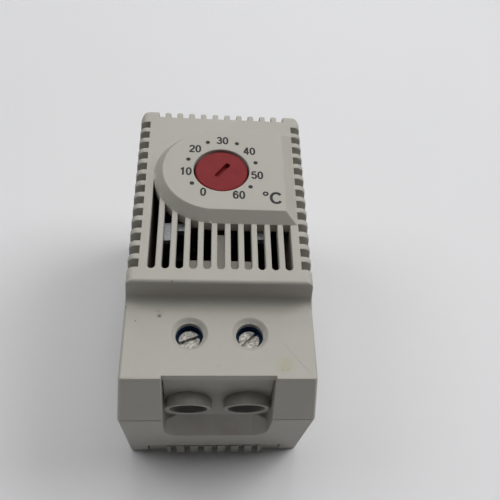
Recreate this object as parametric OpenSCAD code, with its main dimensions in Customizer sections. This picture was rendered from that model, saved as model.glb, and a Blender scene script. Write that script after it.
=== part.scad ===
// Rail-mounted cabinet thermostat: a drafted cover and base, a dial that loads a bimetal arm,
// a two-way terminal block and a sprung foot for a 35 mm top-hat rail.
// Frame: X to the right seen from the front, Y towards the upper end, Z out of the front face,
// with the origin in the middle of the rear plane. All sizes are in millimetres.

/* [Case] */
// Width where the cover meets the base
case_w = 33; // [32:0.5:36]
// Length where the cover meets the base
case_l = 60; // [59:0.5:64]
// Height of the front face above the rear plane
front_z = 41; // [40.5:0.5:44]
// Height of the seam between base and cover
seam_z = 25.8; // [25:0.2:26.6]
// Width of the cover at its front face
front_w = 30.8; // [30:0.2:31.4]
// Distance that the upper end leans in between seam and front face
upper_lean = 2.5; // [1.5:0.1:3.5]
// Lean of the lower end, in mm per mm of height
lower_lean = 0.33; // [0.2:0.01:0.35]
// Radius of the upright corners at the upper end
upper_corner_r = 2.5; // [1:0.25:3]
// Radius of the upright corners at the lower end
lower_corner_r = 0.6; // [0.4:0.1:1.5]
// Gap that shows as the line between cover and base
seam_gap = 0.15; // [0.05:0.05:0.3]
// Wall thickness of cover and base
wall = 1.8; // [1.4:0.1:2.2]
// Thickness of the cover's front wall
front_wall = 2; // [1.6:0.1:2.4]
// Thickness of the cover's deck
deck_wall = 1.6; // [1.4:0.1:2]
// Distance from the lower end to the step
step_dist = 17.7; // [17.6:0.1:18.4]
// Drop from the front face to the terminal deck
step_h = 5.6; // [5:0.2:6]
// Radius at the foot of the step
step_fillet = 1.5; // [0.5:0.25:2.5]
// Chamfer along the sides of the deck
deck_chamfer = 0.35; // [0.1:0.05:0.5]
// Rounding of the front edges above the side ribs
edge_r = 1.4; // [0.8:0.1:1.6]
// Narrowing of the base per side at the rear plane
base_narrow = 0; // [0:0.1:1.2]
// Shortening of the base per end at the rear plane
base_shorten = 4; // [3:0.25:4.5]

/* [Ribs and slots] */
// Pitch of the front slots
slot_pitch = 2.3; // [2.2:0.05:2.35]
// Width of a front slot
slot_w = 1.3; // [1:0.05:1.5]
// Number of front slots, an odd number
slot_n = 11; // [7:2:11]
// Distance from the step to the slots' lower ends
slot_margin = 2.6; // [2.1:0.1:3]
// Pitch of the grooves down each side
groove_pitch = 2.68; // [2.4:0.02:2.7]
// Width of a side groove
groove_w = 1.5; // [1:0.1:1.7]
// Number of grooves on each side
groove_n = 13; // [8:1:13]
// Distance from the upper end to the middle of the first groove
groove_first = 6.5; // [6.2:0.1:7]
// Distance between the floors of the left and right grooves
groove_floor_w = 27.2; // [26.8:0.1:27.6]
// Distance from the upper end to the floor of the end grooves
end_groove_d = 4.25; // [4:0.05:4.5]
// Width of a rib on the upper end
end_rib_w = 1.06; // [0.8:0.02:1.2]
// Height of the ledge that closes the grooves, above the seam
ledge_h = 2.8; // [2.4:0.2:5]

/* [Scale boss and dial] */
// Distance from the upper end to the dial axis
dial_dist = 19.4; // [19:0.1:19.8]
// Height of the boss above the front face
boss_h = 2; // [1.5:0.1:2.4]
// Radius of the boss's round end at its foot
boss_foot_r = 10.95; // [10.5:0.05:11.2]
// Run of the sloping flank round the boss
boss_run = 1.65; // [1.2:0.05:2]
// Distance from the dial axis left to the centre of the round end
boss_round_x = 1.25; // [0.5:0.05:2]
// Distance from the dial axis right to the boss's foot
boss_right = 13.4; // [13:0.1:13.8]
// Run of the flank on the boss's right side
boss_right_run = 2.1; // [1.5:0.1:2.5]
// Radius of the dial
dial_r = 4.75; // [4.6:0.05:5]
// Gap between the dial and the hole in the boss
dial_gap = 0.3; // [0.2:0.05:0.35]
// Depth of the dial's face below the boss's top
dial_sink = 0.3; // [0.2:0.1:0.8]
// Reach of the dial's slot from the axis to its pointing end
dial_slot_tip = 2.25; // [2:0.05:2.75]
// Reach of that slot from the axis to its tail
dial_slot_tail = 1.75; // [1.5:0.05:2.75]
// Width of that slot at its pointing end
dial_slot_w = 1; // [0.85:0.05:1.3]
// Width of that slot at its tail
dial_slot_tail_w = 0.85; // [0.5:0.05:0.9]
// Depth of the screwdriver slot in the dial
dial_slot_d = 0.9; // [0.6:0.1:1.2]
// Direction of the slot's pointing end, from the right
dial_slot_angle = 53; // [0:1:90]

/* [Terminals] */
// Distance between the two poles
pole_pitch = 10; // [9.6:0.1:10.2]
// Distance from the lower end to the terminal screws
screw_dist = 11.2; // [11:0.1:11.4]
// Diameter of the screwdriver holes in the deck
access_d = 4.6; // [4.3:0.1:4.8]
// Diameter of the chamfer round a screwdriver hole
access_chamfer_d = 6.2; // [5.4:0.1:6.4]
// Depth of that chamfer
access_chamfer_h = 0.75; // [0.3:0.05:0.9]
// Diameter of a terminal screw's head
head_d = 3.45; // [3.3:0.05:3.9]
// Height of a terminal screw's head
head_h = 1.4; // [1.2:0.1:1.5]
// Diameter of a terminal screw's thread
thread_d = 2.5; // [2.3:0.1:2.6]
// Width of the slot in a terminal screw's head
head_slot_w = 0.6; // [0.5:0.05:0.8]
// Thickness of a terminal bar
bar_t = 0.8; // [0.6:0.1:1]
// Width of a terminal bar
bar_w = 3; // [2.6:0.1:3.2]
// Gap below the terminal bar with a clamp fully open
clamp_open = 3.5; // [3:0.1:3.8]
// Travel of a clamp cage
clamp_travel = 2.2; // [1.8:0.1:2.2]

/* [Cable inlets] */
// Height of the inlets' axes above the rear plane
inlet_z = 23.8; // [23.4:0.1:24]
// Bore of an inlet collar
inlet_d = 6.4; // [5.8:0.1:6.5]
// Outer diameter of an inlet collar
collar_d = 8; // [7.8:0.1:8.2]
// Length of an inlet collar along its axis
collar_l = 1.5; // [1.2:0.05:2]
// Slant of a collar's mouth
collar_slant = 11; // [0:1:12]
// Width of the recess round the inlets
recess_w = 18.4; // [18.3:0.1:18.8]
// Depth of the recess, from the lower end to its back wall
recess_depth = 4.3; // [4.2:0.05:4.6]
// Height above the rear plane at which the recess's floor leaves its back wall
recess_floor = 17.9; // [17:0.1:18.2]
// Slope of the recess's floor
recess_slope = 61; // [52:1:62]

/* [Rail foot] */
// Width of the channel for the rail
channel_w = 35.2; // [35.1:0.1:35.6]
// Depth of the channel, from the rear plane to the rail's seat
channel_d = 5.6; // [5.2:0.1:6]
// Gap in which a hook holds the rail's flange
flange_gap = 1.2; // [1.1:0.05:1.4]
// Reach of the fixed hook and of the latch over the rail's flange
hook_reach = 1.5; // [1.2:0.1:1.8]
// Width of the latch
latch_w = 25.4; // [24:0.2:26]
// Travel of the latch
latch_travel = 2; // [1.6:0.2:2.4]
// Width of the latch's grip
grip_w = 18.4; // [17:0.2:20]
// Pitch of the grip notches in the latch's end
grip_pitch = 2.65; // [2.4:0.05:2.8]

/* [Mechanism] */
// Height of the carrier plate's upper face above the rear plane
carrier_z = 11; // [10.8:0.1:11.2]
// Height of the underside of the bimetal arm above the carrier
arm_h = 7; // [6.8:0.1:7.4]
// Thickness of the bimetal arm
arm_t = 0.6; // [0.5:0.05:0.8]
// Width of the bimetal arm
arm_w = 6; // [5:0.2:6.4]
// Height of the bridge plate's underside above the rear plane
bridge_z = 32.2; // [31.8:0.1:32.4]
// Thickness of the bridge plate
bridge_t = 1.2; // [1:0.1:1.4]
// Diameter of the adjusting screw
spindle_d = 3.9; // [3.5:0.1:4.2]
// Width across the flats of the adjusting screw's square end
square_w = 2.5; // [2.2:0.1:2.6]
// Wire diameter of the range spring
range_wire = 0.5; // [0.4:0.05:0.6]

/* [Hidden] */
$fn = 64;
eps = 0.01;
seat_gap = 0.1;
running = 0.05;
loose = 0.3;
through = 3;

half_w = case_w / 2;
half_l = case_l / 2;
cover_h = front_z - seam_z;
side_lean = (case_w - front_w) / 2 / cover_h;
end_lean = upper_lean / cover_h;
deck_z = front_z - step_h;
deck_under = deck_z - deck_wall;
front_under = front_z - front_wall;
step_y = -half_l + step_dist;
slot_end_y = step_y + slot_margin;
end_floor = half_l - end_groove_d;
end_wall = 1.55;
boss_top = front_z + boss_h;
boss_top_r = boss_foot_r - boss_run;
dial_y = half_l - dial_dist;
boss_cy = dial_y + 0.2;
screw_y = -half_l + screw_dist;
recess_wall_y = -half_l + recess_depth;
recess_wall_t = 1.6;
cavity_w = 24.4;
cavity_top = end_floor - end_wall;
skirt = 1.8;
skirt_h = 1.5;
rim_t = 1.1;
cover_z = seam_z + seam_gap;
return_t = 1.5;
inner_wall_y = recess_wall_y + recess_wall_t;
base_cavity_w = 2 * (half_w - skirt - 0.2 - rim_t);
floor_t = 1.8;
floor_z = channel_d + floor_t;
rim_inner_end = half_l - skirt - 0.2 - rim_t;
recess_notch_y = lower_end_at(deck_z) + 0.5;
hook_w = 24;

latch_z0 = 0.4;
latch_z1 = channel_d - flange_gap - 0.1;
latch_guide = 0.9;
latch_guide_z = 1.9;
latch_guide_h = 1.2;
latch_side = 0.2;
guide_gap = 0.15;
latch_out = -(half_l - base_shorten);
latch_nose = -(channel_w / 2 - hook_reach);
guide_wall = 1;
guide_y0 = latch_out + guide_wall + latch_travel + loose;
guide_y1 = latch_nose - 3;
grip_reach = 0.8;
grip_notch_w = 1.1;
relief_w = 1;
relief_h = 0.5;
latch_window_w = 3.8;
latch_spring_l = latch_travel + 2.4;
latch_spring_r = 1.15;
latch_wire = 0.35;
spring_post_y = latch_out + 1.4;
spring_post_t = 0.7;
spring_post_w = 2.8;

bar_z = inlet_z + clamp_open / 2;
cage_w = 5.6;
cage_l = 4.6;
cage_y0 = screw_y - cage_l / 2;
cage_floor_t = 1;
cage_window_w = 4;
cage_z0 = inlet_z - clamp_open / 2 - cage_floor_t;
cage_bridge_z = bar_z + bar_t + 0.6;
cage_z1 = cage_bridge_z + 1.6;
chamber_z1 = cage_z1 + clamp_travel + 0.25;
head_z = chamber_z1 + 0.65;
well_d = head_d + 1.5;
wire_hole_d = 4.6;
block_w = 21.2;
block_y0 = inner_wall_y + loose;
block_y1 = screw_y + cage_l / 2 + loose + 2.8;
block_z0 = 17;
block_z1 = deck_under - seat_gap;
block_rib_x = 7.6;

carrier_t = 2;
carrier_w = 23.2;
carrier_y0 = dial_y - 18.2;
carrier_y1 = dial_y + 13;
carrier_posts = [for (x = [-9.4, 9.4], y = [dial_y - 15.6, dial_y + 2.9]) [x, y]];
bend_y = step_y + 3;
tongue_z = carrier_z + 4.2;
contact_y = dial_y - 12.4;
pedestal_edge = 1.8;
tongue_left = 1.6;
contact_h = 1.2;
arm_z = carrier_z + arm_h;
fixed_h = arm_z - contact_h - 0.1 - tongue_z - bar_t;
anchor_w = 8;
bracket_y0 = dial_y + 4;
bracket_y1 = dial_y + 10;
bracket_t = 1;
bracket_pad_x = -3;
magnet_w = 4.4;
magnet_l = 4.2;
magnet_y = dial_y - 7.6;
magnet_h = 5.6;
pan_head_h = 1.3;
bridge_screw_d = 2;
bridge_screw_l = 6;
bridge_screw_head = 3.6;
carrier_screw_d = 2.1;
carrier_screw_l = 4.5;
carrier_screw_head = 4;
range_spring_r = 2;
contact_d = 2.6;
shank_d = 1.4;
shank_l = 1.6;
arm_tip = 1.6;
arm_tail = 1.8;
rivet_d = 1.6;
rivet_places = [[4.6, contact_y - 0.2], [-pole_pitch / 2, bracket_y0 + 3], [2.2, bracket_y0 + 2]];

bridge_top = bridge_z + bridge_t;
bridge_w = 18.8;
bridge_y0 = dial_y - 5.4;
bridge_y1 = dial_y + 11.2;
column_y = dial_y - 6;
column_l = 4.4;
column_screw_x = 8;
column_screw_y = dial_y - 3.6;
horn_z = front_under - 0.6;
horn_base_y = dial_y - 12.7;
right_horn_y = dial_y - 12.1;
bush_d = 5.9;
dial_flange_z = front_under - 1.6;
dial_hub_z = bridge_top + 1;
dial_face_z = boss_top - dial_sink;
dial_edge = 0.2;
square_top_z = dial_flange_z + 1.8;
spindle_top_z = bridge_top + 0.2;
cup_z = arm_z + arm_t + 5;

function half_w_at(z) = half_w - side_lean * (z - seam_z);
function lower_end_at(z) = -half_l + lower_lean * (z - seam_z);
function upper_end_at(z) = half_l - end_lean * (z - seam_z);
function base_half_w_at(z) = half_w - base_narrow * (seam_z - z) / seam_z;
function base_end_at(z) = half_l - base_shorten * (seam_z - z) / seam_z;

// Block between two levels whose four walls lean; a and b are [half width, lower end, upper end]
module leaning_block(z0, a, z1, b) {
    intersection() {
        rotate([90, 0, 0]) linear_extrude(height = 3 * case_l, center = true)
            polygon([[-a[0], z0], [a[0], z0], [b[0], z1], [-b[0], z1]]);
        rotate([90, 0, 90]) linear_extrude(height = 3 * case_w, center = true)
            polygon([[a[1], z0], [a[2], z0], [b[2], z1], [b[1], z1]]);
    }
}

// Cutter that rounds one corner along the line between two points inside it; sx and sy face outwards
module corner_cutter(from, to, sx, sy, r) {
    d = to - from;
    len = norm(d);
    translate(from) rotate([-asin(d[1] / len), atan2(d[0], d[2]), 0]) translate([0, 0, -2])
        linear_extrude(height = len + 4) difference() {
            polygon([[0, 0], [sx * 2 * r, 0], [sx * 2 * r, sy * 2 * r], [0, sy * 2 * r]]);
            circle(r = r);
        }
}

// The same block with its four leaning corners rounded
module leaning_case(z0, a, z1, b) difference() {
    leaning_block(z0, a, z1, b);
    for (s = [-1, 1], e = [-1, 1]) {
        k = e < 0 ? 1 : 2;
        r = e < 0 ? lower_corner_r : upper_corner_r;
        inset = 0.99 * r;
        ix = inset * sqrt(1 + pow((a[0] - b[0]) / (z1 - z0), 2));
        iy = inset * sqrt(1 + pow((a[k] - b[k]) / (z1 - z0), 2));
        corner_cutter([s * (a[0] - ix), a[k] - e * iy, z0], [s * (b[0] - ix), b[k] - e * iy, z1], s, e, r);
    }
}

// Half outline, to the right of x0, of a wall that leans by k and meets the front face in a round edge
module round_edge_outline(x0, x_front, k, r) {
    xc = x_front + k * r - r * sqrt(1 + k * k);
    phi = atan(k);
    foot = x_front + k * (front_z - seam_z + 1);
    polygon([[x0, seam_z - 1], [foot, seam_z - 1], [xc + r * cos(phi), front_z - r + r * sin(phi)],
             [xc, front_z], [x0, front_z]]);
    translate([xc, front_z - r]) circle(r = r);
}

// Outline of the cover seen from the side: deck, step with its fillet and lip, front face, upper end
module side_outline() {
    lip_r = 0.6;
    difference() {
        union() {
            translate([-case_l, seam_z - 1]) square([case_l + step_y + 1, deck_z - seam_z + 1]);
            round_edge_outline(step_y, upper_end_at(front_z), end_lean, edge_r);
            difference() {
                translate([step_y - step_fillet, deck_z - 1]) square([step_fillet + 1, step_fillet + 1]);
                translate([step_y - step_fillet, deck_z + step_fillet]) circle(r = step_fillet);
            }
        }
        difference() {
            translate([step_y - 1, front_z - lip_r]) square([lip_r + 1, 2]);
            translate([step_y + lip_r, front_z - lip_r]) circle(r = lip_r);
        }
    }
}

// Outline of the cover seen from its end
module end_outline() {
    for (s = [0, 1]) mirror([s, 0]) round_edge_outline(0, front_w / 2, side_lean, edge_r);
}

module cover_shell() {
    intersection() {
        leaning_case(cover_z, [half_w_at(cover_z), lower_end_at(cover_z), upper_end_at(cover_z)],
                     front_z, [half_w_at(front_z), lower_end_at(front_z), upper_end_at(front_z)]);
        rotate([90, 0, 90]) linear_extrude(height = 2 * case_w, center = true) side_outline();
        rotate([90, 0, 0]) linear_extrude(height = 3 * case_l, center = true) end_outline();
    }
}

// D-shaped scale boss: a cone for the round end and sloping flanks for the straight part
module scale_boss() {
    flat = [[boss_cy - boss_foot_r, front_z], [boss_cy + boss_foot_r, front_z],
            [boss_cy + boss_top_r, boss_top], [boss_cy - boss_top_r, boss_top]];
    end = [[-boss_round_x, front_z], [boss_right, front_z],
           [boss_right - boss_right_run, boss_top], [-boss_round_x, boss_top]];
    translate([-boss_round_x, boss_cy, front_z])
        cylinder(r1 = boss_foot_r, r2 = boss_top_r, h = boss_h, $fn = 128);
    intersection() {
        rotate([90, 0, 90]) linear_extrude(height = case_w, center = true) polygon(flat);
        rotate([90, 0, 0]) linear_extrude(height = 2 * case_l, center = true) polygon(end);
    }
}

// Cutters that chamfer the two side edges of the deck
module deck_chamfers() {
    edge = half_w_at(deck_z) - deck_chamfer;
    for (s = [0, 1]) mirror([s, 0, 0]) translate([0, step_y - step_fillet, 0]) rotate([90, 0, 0])
        linear_extrude(height = half_l)
            polygon([[edge - 1, deck_z + 1], [edge + 2, deck_z + 1], [edge + 2, deck_z - 2]]);
}

module boss_foot_outline() {
    translate([-boss_round_x, boss_cy]) circle(r = boss_foot_r, $fn = 128);
    translate([-boss_round_x, boss_cy - boss_foot_r])
        square([boss_round_x + boss_right, 2 * boss_foot_r]);
}

// Front slots with round lower ends, cut off above by the foot of the boss
module front_slots() {
    low = slot_end_y + slot_w / 2;
    translate([0, 0, front_under - eps]) linear_extrude(height = front_wall + 1)
        difference() {
            for (i = [0 : slot_n - 1]) translate([(i - (slot_n - 1) / 2) * slot_pitch, low]) {
                circle(d = slot_w, $fn = 32);
                translate([-slot_w / 2, 0]) square([slot_w, boss_cy - low]);
            }
            boss_foot_outline();
        }
}

// Blind grooves down both sides and the upper end, which leave the ribs between them
module rib_grooves() {
    ledge = seam_z + ledge_h;
    for (s = [0, 1], k = [0 : groove_n - 1]) mirror([s, 0, 0])
        translate([groove_floor_w / 2, half_l - groove_first - k * groove_pitch - groove_w / 2, ledge])
            cube([5, groove_w, front_z]);
    gap = slot_pitch - end_rib_w;
    for (i = [0 : slot_n - 1])
        translate([(i - (slot_n - 1) / 2) * slot_pitch - gap / 2, end_floor, ledge])
            cube([gap, 6, front_z]);
}

// Stiffening tee under the front wall, at the lower ends of the middle slots
module front_tee() {
    tee_h = 2.5;
    beam_w = 4.9 * slot_pitch;
    beam_end = slot_end_y + 3;
    stem_end = beam_end + 5.5;
    translate([-beam_w / 2, step_y + wall - eps, front_under - tee_h])
        cube([beam_w, beam_end - step_y - wall, tee_h + eps]);
    translate([-0.95, beam_end - 1, front_under - tee_h]) cube([1.9, stem_end - beam_end + 1, tee_h + eps]);
}

module cover() color("#a9a7a0") difference() {
    union() {
        difference() {
            cover_shell();
            // skirt that drops over the rim of the base
            leaning_block(seam_z - 1, [half_w - skirt, -half_l + skirt, half_l - skirt],
                          seam_z + skirt_h, [half_w - skirt, -half_l + skirt, half_l - skirt]);
            // room above the terminals
            leaning_block(seam_z, [half_w_at(seam_z) - wall, lower_end_at(seam_z) + wall, step_y + wall + 1],
                          deck_under, [half_w_at(deck_under) - wall, lower_end_at(deck_under) + wall,
                                       step_y + wall + 1]);
            // room for the mechanism
            translate([-cavity_w / 2, step_y + wall, seam_z])
                cube([cavity_w, cavity_top - step_y - wall, front_under - seam_z]);
            rib_grooves();
            deck_chamfers();
        }
        scale_boss();
        front_tee();
        // side walls of the inlet recess
        for (s = [0, 1]) mirror([s, 0, 0]) intersection() {
            translate([recess_w / 2, -half_l, seam_z])
                cube([return_t, half_l + inner_wall_y - seat_gap, deck_under + eps - seam_z]);
            cover_shell();
        }
    }
    front_slots();
    translate([0, dial_y, front_under - 1]) cylinder(r = dial_r + dial_gap, h = boss_h + front_wall + 2);
    for (s = [-1, 1]) translate([s * pole_pitch / 2, screw_y, 0]) access_hole();
    // mouth of the inlet recess: it notches the deck's edge and runs in under the deck
    translate([-recess_w / 2, -half_l - 1, seam_z - 1])
        cube([recess_w, half_l + 1 + recess_notch_y, deck_z - seam_z + 2]);
    translate([-recess_w / 2, -half_l - 1, seam_z - 1])
        cube([recess_w, recess_depth + 1, deck_under - seam_z + 1]);
}

// Screwdriver hole in the deck with a chamfered rim
module access_hole() {
    translate([0, 0, deck_under - 1]) cylinder(d = access_d, h = deck_wall + 2);
    translate([0, 0, deck_z - access_chamfer_h])
        cylinder(d1 = access_d, d2 = access_chamfer_d, h = access_chamfer_h);
    translate([0, 0, deck_z]) cylinder(d = access_chamfer_d, h = 1);
}

// Outline of the inlet recess, open above, with its lower corners rounded
module recess_outline(w, r) {
    translate([-w / 2 + r, 0]) square([w - 2 * r, half_l]);
    translate([-w / 2, r]) square([w, half_l]);
    for (s = [-1, 1]) translate([s * (w / 2 - r), r]) circle(r = r, $fn = 32);
}

// Recess below the seam, whose floor runs out steeply to the end face
module inlet_recess() translate([0, recess_wall_y, recess_floor]) {
    rotate([90, 0, 0]) linear_extrude(height = half_l) recess_outline(recess_w, 1.5);
    rotate([90 + recess_slope, 0, 0]) linear_extrude(height = half_l)
        recess_outline(recess_w - seat_gap, 2.6);
}

// Wall with the two slant-mouthed inlet collars, standing up under the deck
module inlet_wall() {
    translate([-recess_w / 2 + seat_gap, recess_wall_y, recess_floor - 1])
        cube([recess_w - 2 * seat_gap, recess_wall_t, deck_under - seat_gap - recess_floor + 1]);
    for (s = [-1, 1]) translate([s * pole_pitch / 2, recess_wall_y + eps, inlet_z]) difference() {
        rotate([90, 0, 0]) cylinder(d = collar_d, h = collar_l + 1);
        translate([0, -collar_l - eps, 0]) rotate([collar_slant, 0, 0])
            translate([-collar_d, -collar_d, -collar_d]) cube([2 * collar_d, collar_d, 2 * collar_d]);
    }
}

module inlet_bores() {
    for (s = [-1, 1]) translate([s * pole_pitch / 2, 0, inlet_z]) rotate([90, 0, 0])
        cylinder(d = inlet_d, h = collar_l + through - recess_wall_y);
}

// Hollow of the base, which leaves the solid ground behind the inlet recess
module base_hollow() {
    keep_w = recess_w + 2 * return_t;
    difference() {
        leaning_block(floor_z, [base_cavity_w / 2, -base_end_at(floor_z) + wall, base_end_at(floor_z) - wall],
                      seam_z + 2, [base_cavity_w / 2, -rim_inner_end, rim_inner_end]);
        translate([-keep_w / 2, -case_l, 0]) cube([keep_w, case_l + inner_wall_y, case_l]);
    }
    translate([-base_cavity_w / 2, channel_w / 2 + wall, floor_t])
        cube([base_cavity_w, base_end_at(0) - wall - channel_w / 2 - wall, floor_z]);
}

// Rim that stands up inside the cover's skirt, open at the inlets
module base_rim() {
    out_w = half_w - skirt - 0.2;
    out_l = half_l - skirt - 0.2;
    open_w = recess_w + 2 * return_t + 0.4;
    difference() {
        translate([-out_w, -out_l, seam_z - 1]) cube([2 * out_w, 2 * out_l, skirt_h + 1]);
        translate([-out_w + rim_t, -out_l + rim_t, seam_z - 2])
            cube([2 * (out_w - rim_t), 2 * (out_l - rim_t), skirt_h + 3]);
        translate([-open_w / 2, -case_l, seam_z - 2]) cube([open_w, case_l, skirt_h + 3]);
    }
}

module base() color("#96948d") {
    rail_side = channel_w / 2;
    lip_z = channel_d - flange_gap;
    difference() {
        union() {
            difference() {
                leaning_case(0, [base_half_w_at(0), -base_end_at(0), base_end_at(0)],
                             seam_z, [half_w, -half_l, half_l]);
                base_hollow();
            }
            base_rim();
            // ribs that carry the terminal block
            for (s = [0, 1]) mirror([s, 0, 0]) translate([block_rib_x, block_y0 + 0.4, floor_z - eps])
                cube([1.6, block_y1 - block_y0 - 0.8, block_z0 - floor_z + eps]);
            // posts under the carrier plate
            for (p = carrier_posts) translate([p[0], p[1], floor_z - eps])
                cylinder(d = 4.4, h = carrier_z - carrier_t - floor_z + eps, $fn = 48);
        }
        inlet_recess();
        inlet_bores();
        for (p = carrier_posts) translate([p[0], p[1], channel_d + 0.6])
            cylinder(d = carrier_screw_d + 2 * running, h = 6, $fn = 32);
        // channel for the rail
        translate([-case_w, -rail_side, -1]) cube([2 * case_w, channel_w, channel_d + 1]);
        // pocket of the latch, with its guide grooves and a relief at its mouth
        translate([-latch_w / 2 - latch_side, -case_l, -1])
            cube([latch_w + 2 * latch_side, case_l - rail_side + 1, latch_z1 + guide_gap + 1]);
        translate([-latch_w / 2 - latch_guide - guide_gap, latch_out + guide_wall, latch_guide_z - guide_gap])
            cube([latch_w + 2 * (latch_guide + guide_gap), 1 - rail_side - latch_out - guide_wall,
                  latch_guide_h + 2 * guide_gap]);
        translate([-latch_w / 2 - latch_side - relief_w, -case_l, -1])
            cube([latch_w + 2 * (latch_side + relief_w), case_l + latch_out + guide_wall, 1 + relief_h]);
    }
    difference() {
        inlet_wall();
        inlet_bores();
    }
    // fixed hook for the rail's flange
    translate([-hook_w / 2, 0, 0]) rotate([90, 0, 90]) linear_extrude(height = hook_w)
        polygon([[rail_side + eps, lip_z], [rail_side - hook_reach, lip_z],
                 [rail_side - hook_reach, lip_z - 0.8], [rail_side + eps, lip_z - 2.2]]);
    // post that the latch spring pushes against
    translate([-spring_post_w / 2, spring_post_y, latch_z0 + 0.8])
        cube([spring_post_w, spring_post_t, latch_z1 + guide_gap + eps - latch_z0 - 0.8]);
}

// Latch plate: nose with a ramp, grip notches at the outer end, guides and a window for its spring
module rail_latch() color("#8a8880") difference() {
    union() {
        translate([-latch_w / 2, 0, 0]) rotate([90, 0, 90]) linear_extrude(height = latch_w)
            polygon([[latch_out, latch_z0], [latch_nose - 2.4, latch_z0], [latch_nose, latch_z1 - 0.9],
                     [latch_nose, latch_z1], [latch_out - 0.3, latch_z1]]);
        translate([-latch_w / 2 - latch_guide, guide_y0, latch_guide_z])
            cube([latch_w + 2 * latch_guide, guide_y1 - guide_y0, latch_guide_h]);
        translate([-grip_w / 2, latch_out - grip_reach, latch_z0])
            cube([grip_w, grip_reach + 1, latch_z1 - latch_z0]);
    }
    for (i = [-3 : 3]) translate([i * grip_pitch - grip_notch_w / 2, latch_out - 2, latch_z0 - 1])
        cube([grip_notch_w, 2.2, latch_z1 - latch_z0 + 2]);
    translate([-latch_window_w / 2, spring_post_y - loose, latch_z0 - 1])
        cube([latch_window_w, spring_post_t + loose + latch_spring_l, latch_z1 - latch_z0 + 2]);
}

// Coil along +Z made of a round wire: rings of points along a helix
module coil(r, wire, h, turns) {
    sides = 8;
    steps = 20 * turns;
    rise = h - wire;
    points = [for (i = [0 : steps], j = [0 : sides - 1])
        let (a = 360 * turns * i / steps, b = 360 * j / sides, q = r + wire / 2 * cos(b))
        [q * cos(a), q * sin(a), wire / 2 + rise * i / steps + wire / 2 * sin(b)]];
    skin = [for (i = [0 : steps - 1], j = [0 : sides - 1])
        let (k = i * sides + j, n = i * sides + (j + 1) % sides) [k, k + sides, n + sides, n]];
    ends = [[for (j = [0 : sides - 1]) j], [for (j = [sides - 1 : -1 : 0]) steps * sides + j]];
    polyhedron(points = points, faces = concat(skin, ends), convexity = 4);
}

module latch_spring() color("silver") translate([0, spring_post_y + spring_post_t + seat_gap / 2, 0])
    translate([0, 0, (latch_z0 + latch_z1) / 2]) rotate([-90, 0, 0])
        coil(latch_spring_r, latch_wire, latch_spring_l - seat_gap, 5);

// Dial: slotted face, a flange behind the front wall and a hub with a square socket
module dial() color("#87373a") translate([0, dial_y, 0]) difference() {
    union() {
        translate([0, 0, dial_flange_z])
            cylinder(r = dial_r, h = dial_face_z - dial_edge - dial_flange_z, $fn = 96);
        translate([0, 0, dial_face_z - dial_edge])
            cylinder(r1 = dial_r, r2 = dial_r - dial_edge, h = dial_edge, $fn = 96);
        translate([0, 0, dial_flange_z])
            cylinder(r = dial_r + 1, h = front_under - loose - dial_flange_z, $fn = 96);
        translate([0, 0, dial_hub_z]) cylinder(d = 6, h = dial_flange_z - dial_hub_z + eps);
    }
    rotate([0, 0, dial_slot_angle]) translate([0, 0, dial_face_z - dial_slot_d])
        linear_extrude(height = dial_slot_d + 1)
            pointer_outline(dial_slot_tip, dial_slot_w / 2, dial_slot_tail, dial_slot_tail_w / 2);
    rotate([0, 0, dial_slot_angle]) translate([0, 0, dial_hub_z - 1])
        linear_extrude(height = square_top_z + 0.6 - dial_hub_z + 1)
            square(square_w + 2 * running, center = true);
}

// Slot that is wider at its pointing end, with both ends round
module pointer_outline(tip, r, tail, tail_r) {
    translate([tip - r, 0]) circle(r = r, $fn = 32);
    translate([tail_r - tail, 0]) circle(r = tail_r, $fn = 32);
    polygon([[tail_r - tail, -tail_r], [tip - r, -r], [tip - r, r], [tail_r - tail, tail_r]]);
}

// Adjusting screw: cup for the range spring, threaded shank and the square that the dial turns
module adjusting_screw() color("#b08d57") translate([0, dial_y, 0]) {
    translate([0, 0, cup_z]) cylinder(d = spindle_d + 1.4, h = 0.8);
    translate([0, 0, cup_z]) cylinder(d = spindle_d, h = spindle_top_z - cup_z);
    rotate([0, 0, dial_slot_angle]) translate([0, 0, spindle_top_z - eps])
        linear_extrude(height = square_top_z - spindle_top_z + eps) square(square_w, center = true);
}

module screw_bush() color("#c0a060") translate([0, dial_y, 0]) difference() {
    union() {
        translate([0, 0, bridge_top]) cylinder(d = 7.2, h = 0.6);
        translate([0, 0, bridge_z - 1.6]) cylinder(d = bush_d, h = bridge_t + 1.6 + 0.1);
    }
    translate([0, 0, bridge_z - 3]) cylinder(d = spindle_d + 2 * running, h = 6);
}

// Bridge: a plate over the columns with two legs bent down to the carrier
module bridge() color("#b9bcbf") difference() {
    union() {
        translate([-bridge_w / 2, bridge_y0, bridge_z]) cube([bridge_w, bridge_y1 - bridge_y0, bridge_t]);
        for (s = [0, 1]) mirror([s, 0, 0]) translate([bridge_w / 2 - 4.4, bridge_y1 - 1, carrier_z])
            cube([4.4, 1, bridge_z - carrier_z + eps]);
    }
    translate([0, dial_y, bridge_z - 1]) cylinder(d = bush_d + 0.1, h = bridge_t + 2);
    for (s = [-1, 1]) translate([s * column_screw_x, column_screw_y, bridge_z - 1])
        cylinder(d = bridge_screw_d + loose, h = bridge_t + 2, $fn = 32);
}

module bridge_screws() color("#c9ccd0") for (s = [-1, 1]) translate([s * column_screw_x, column_screw_y, 0])
    pan_screw(bridge_top, bridge_screw_d, bridge_screw_l, bridge_screw_head, pan_head_h - 0.1);

// Screw with its head's seat at height z, cut by a cross slot
module pan_screw(z, d, l, head, head_l) difference() {
    union() {
        translate([0, 0, z - l]) cylinder(d = d, h = l + eps, $fn = 32);
        translate([0, 0, z]) cylinder(d = head, h = head_l, $fn = 32);
    }
    for (a = [0, 90]) rotate([0, 0, a]) translate([-head * 0.3, -0.25, z + head_l - 0.7])
        cube([head * 0.6, 0.5, 2]);
}

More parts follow.
